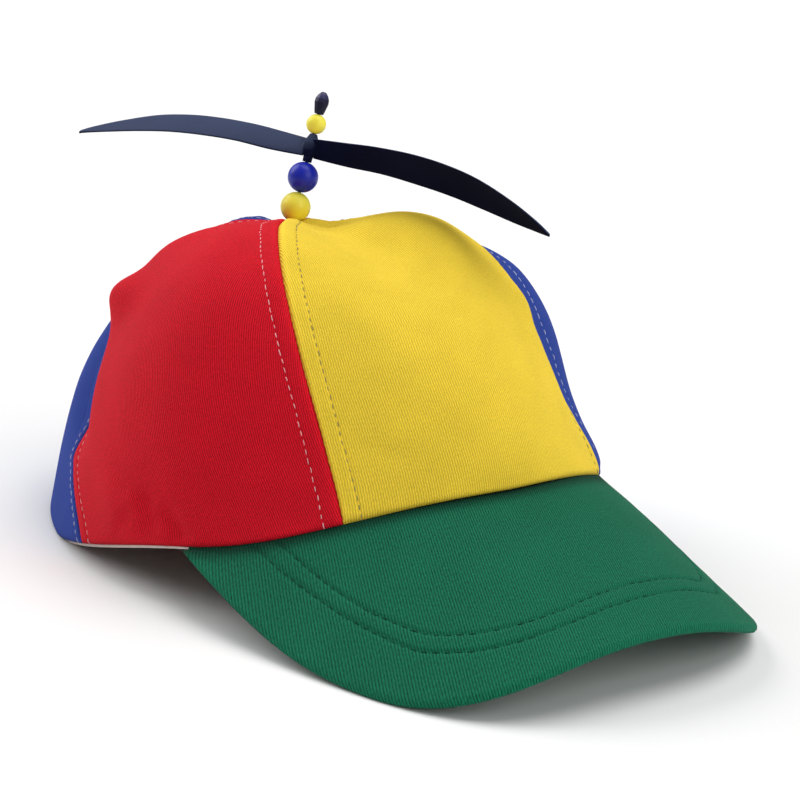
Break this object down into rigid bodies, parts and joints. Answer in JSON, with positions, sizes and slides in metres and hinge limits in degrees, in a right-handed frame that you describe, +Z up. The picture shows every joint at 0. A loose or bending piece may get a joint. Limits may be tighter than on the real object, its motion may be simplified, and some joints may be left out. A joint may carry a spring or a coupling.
{
  "type": "propeller cap",
  "caption": "Soft cloth cap with a crown of differently coloured panels, an arched stiff peak and, on top, a leaning beaded pin that carries a freely spinning propeller.",
  "frame": {"origin": "on the floor under the middle of the cap's bounding box, as it rests on its rear hem and the peak's corners", "axes": "+Z up, -Y towards the peak, +X towards the wearer's left"},
  "size_m": [0.1635, 0.2582, 0.1336],
  "materials": {
    "cloth_yellow": "cotton twill",
    "cloth_red": "cotton twill",
    "cloth_blue": "cotton twill",
    "cloth_green": "cotton twill",
    "band_cloth": "plain weave",
    "pin_wire": "plain wire",
    "bead_yellow": "moulded gloss",
    "bead_blue": "moulded gloss",
    "propeller_black": "moulded gloss",
    "tip_black": "faceted gloss"
  },
  "bodies": {
    "cap": {"panel_front": "cloth_yellow", "panel_right": "cloth_red", "panel_back_right": "cloth_blue", "panel_back_left": "cloth_red", "panel_left": "cloth_blue", "brim": "cloth_green", "sweatband": "band_cloth", "post": "pin_wire", "bead_base": "bead_yellow", "bead_blue": "bead_blue", "bead_small": "bead_yellow", "tip": "tip_black"},
    "propeller": {"propeller": "propeller_black"}
  },
  "joints": [
    {"name": "propeller_spin", "type": "hinge", "parent": "cap", "child": "propeller", "pos_m": [0.00779, 0.05294, 0.11681], "axis": [0.3192, 0.0941, 0.943], "continuous": true}
  ]
}
